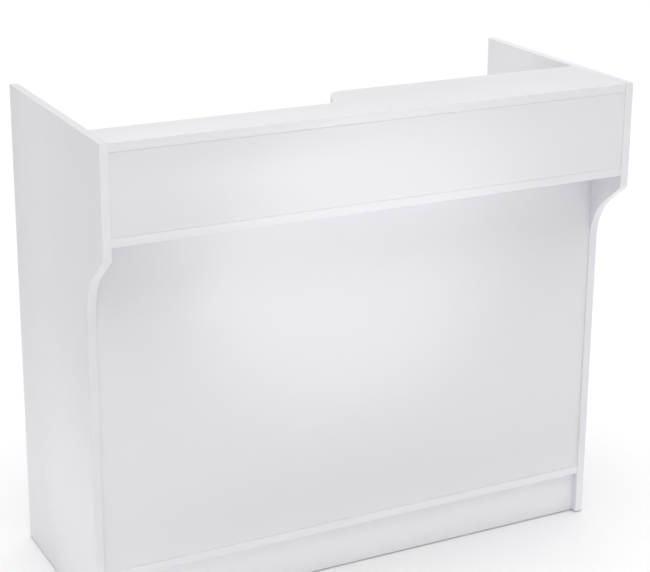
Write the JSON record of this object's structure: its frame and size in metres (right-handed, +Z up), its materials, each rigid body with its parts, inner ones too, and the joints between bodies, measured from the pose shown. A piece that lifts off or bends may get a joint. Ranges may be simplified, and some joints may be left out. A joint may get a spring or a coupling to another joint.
{
  "type": "checkout counter",
  "caption": "White laminate checkout counter with a two-depth ledge, cove-fronted side panels, recessed front, worktop, shelves and a locking drawer.",
  "frame": {"origin": "on the floor, in the middle of the counter's footprint", "axes": "+X along the counter to the customer's right, +Y from the customer to the clerk, +Z up"},
  "size_m": [1.2192, 0.5588, 1.0668],
  "materials": {
    "white_laminate": "white melamine laminate on particle board, satin",
    "white_edge_band": "white plastic edge banding, satin",
    "drawer_box_wrap": "white wrapped board",
    "white_powder_steel": "white epoxy coated steel",
    "nylon": "natural nylon",
    "zinc_plated_steel": "bright zinc plated",
    "bright_chrome": "polished chrome plate",
    "white_plastic": "moulded white plastic",
    "beech_dowel": "fluted beech"
  },
  "bodies": {
    "cabinet": {"left_side_panel": "white_laminate", "right_side_panel": "white_laminate", "left_panel_edge_bands": "white_edge_band", "right_panel_edge_bands": "white_edge_band", "ledge_top": "white_laminate", "ledge_edge_bands": "white_edge_band", "fascia_panel": "white_laminate", "ledge_divider": "white_laminate", "divider_edge_band": "white_edge_band", "worktop": "white_laminate", "worktop_edge_bands": "white_edge_band", "front_panel": "white_laminate", "bottom_deck": "white_laminate", "deck_edge_bands": "white_edge_band", "kick_plate": "white_laminate", "rear_kick_plate": "white_laminate", "partition": "white_laminate", "partition_edge_band": "white_edge_band", "left_shelf": "white_laminate", "left_shelf_edge_band": "white_edge_band", "right_shelf": "white_laminate", "right_shelf_edge_band": "white_edge_band", "shelf_pins": "zinc_plated_steel", "cabinet_slide_left": "white_powder_steel", "cabinet_slide_right": "white_powder_steel", "cabinet_slide_screws": "zinc_plated_steel", "lock_strike": "zinc_plated_steel", "strike_screws": "zinc_plated_steel", "grommet_liner": "white_plastic", "cam_bolts": "zinc_plated_steel", "cam_locks": "zinc_plated_steel", "cam_covers": "white_plastic", "wood_dowels": "beech_dowel", "floor_glides": "white_plastic"},
    "drawer": {"drawer_face": "white_laminate", "drawer_face_edge_bands": "white_edge_band", "drawer_left_side": "drawer_box_wrap", "drawer_right_side": "drawer_box_wrap", "drawer_back": "drawer_box_wrap", "drawer_bottom": "drawer_box_wrap", "drawer_pull": "bright_chrome", "pull_screws": "zinc_plated_steel", "drawer_slide_left": "white_powder_steel", "drawer_slide_right": "white_powder_steel", "drawer_slide_screws": "zinc_plated_steel", "lock_body": "bright_chrome", "lock_nut": "zinc_plated_steel"},
    "lock_turner": {"lock_plug": "bright_chrome", "lock_cam": "zinc_plated_steel", "lock_cam_screw": "zinc_plated_steel"},
    "cable_cap": {"grommet_cap": "white_plastic"},
    "cabinet_wheel_left": {"cabinet_roller_left": "nylon"},
    "cabinet_wheel_right": {"cabinet_roller_right": "nylon"},
    "drawer_wheel_left": {"drawer_roller_left": "nylon"},
    "drawer_wheel_right": {"drawer_roller_right": "nylon"}
  },
  "joints": [
    {"name": "drawer_slide", "type": "slide", "parent": "cabinet", "child": "drawer", "axis": [0, 1, 0], "range_m": [0, 0.28]},
    {"name": "lock_turn", "type": "hinge", "parent": "drawer", "child": "lock_turner", "pos_m": [-0.30529, 0.2514, 0.82875], "axis": [0, -1, 0], "range_deg": [0, 90]},
    {"name": "cable_cap_turn", "type": "hinge", "parent": "cabinet", "child": "cable_cap", "pos_m": [-0.33, -0.0894, 0.8788], "axis": [0, 0, 1], "continuous": true},
    {"name": "cabinet_wheel_left_spin", "type": "hinge", "parent": "cabinet", "child": "cabinet_wheel_left", "pos_m": [-0.58455, 0.21535, 0.75025], "axis": [-1, 0, 0], "continuous": true},
    {"name": "cabinet_wheel_right_spin", "type": "hinge", "parent": "cabinet", "child": "cabinet_wheel_right", "pos_m": [-0.02602, 0.21535, 0.75025], "axis": [-1, 0, 0], "continuous": true},
    {"name": "drawer_wheel_left_spin", "type": "hinge", "parent": "drawer", "child": "drawer_wheel_left", "pos_m": [-0.58455, -0.10365, 0.74705], "axis": [-1, 0, 0], "continuous": true},
    {"name": "drawer_wheel_right_spin", "type": "hinge", "parent": "drawer", "child": "drawer_wheel_right", "pos_m": [-0.02602, -0.10365, 0.74705], "axis": [-1, 0, 0], "continuous": true}
  ],
  "couplings": [
    {"joint": "cabinet_wheel_left_spin", "follows": "drawer_slide", "rad_per_m": 100},
    {"joint": "cabinet_wheel_right_spin", "follows": "drawer_slide", "rad_per_m": 100},
    {"joint": "drawer_wheel_left_spin", "follows": "drawer_slide", "rad_per_m": 100},
    {"joint": "drawer_wheel_right_spin", "follows": "drawer_slide", "rad_per_m": 100}
  ]
}
